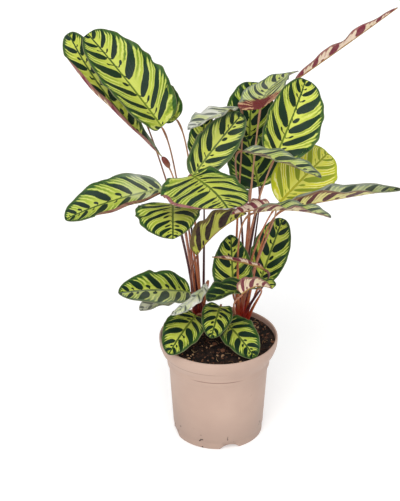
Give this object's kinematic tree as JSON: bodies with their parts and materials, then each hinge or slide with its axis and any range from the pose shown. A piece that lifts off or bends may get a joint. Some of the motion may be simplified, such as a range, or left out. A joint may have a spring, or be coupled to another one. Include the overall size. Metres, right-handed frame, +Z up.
{
  "type": "potted calathea",
  "caption": "Leafy calathea with feather-patterned oval leaves on thin red-brown stalks, growing from peat in a round tapered plastic nursery pot.",
  "frame": {"origin": "middle of the flat pad under the pot, on the surface that the pot stands on", "axes": "+Z up along the pot's axis; -Y towards the plant's front; +X to the front view's right"},
  "size_m": [0.3887, 0.2976, 0.4901],
  "materials": {
    "pot_plastic": "satin taupe moulded plastic with faint ring lines",
    "peat": "matte dark brown crumbly peat with light fibres",
    "stalk": "smooth red-brown leaf stalk, crimson near the soil",
    "leaf": "satin leaf, yellow-green with dark green ovals above, cream and maroon below",
    "leaf_yellow": "satin young leaf, translucent yellow with cream bands"
  },
  "bodies": {
    "root": {"pot": "pot_plastic", "soil": "peat", "stalks_left": "stalk", "stalks_right": "stalk", "stalks_front": "stalk", "leaf_top_left": "leaf", "leaf_top_left_outer": "leaf", "leaf_top_left_inner": "leaf", "leaf_top_left_hidden": "leaf", "leaf_crown_right": "leaf", "leaf_crown_left": "leaf", "leaf_crown_back": "leaf", "leaf_tall_middle": "leaf", "leaf_tall_middle_back": "leaf", "leaf_right_large": "leaf", "leaf_centre_broad": "leaf", "leaf_left_drooping": "leaf", "leaf_far_left": "leaf", "leaf_low_left": "leaf", "leaf_low_left_under": "leaf", "leaf_low_left_edge": "leaf", "leaf_rim_left": "leaf", "leaf_rim_middle": "leaf", "leaf_rim_right": "leaf", "leaf_centre_raised": "leaf", "leaf_centre_curled": "leaf", "leaf_far_right": "leaf", "leaf_right_low": "leaf", "leaf_yellow_new": "leaf_yellow", "leaf_centre_dark": "leaf", "leaf_right_level": "leaf", "leaf_low_right": "leaf", "leaf_low_centre": "leaf", "leaf_low_rolled": "leaf", "leaf_low_dark": "leaf", "leaf_spear": "leaf", "leaf_low_edge": "leaf"}
  },
  "joints": []
}
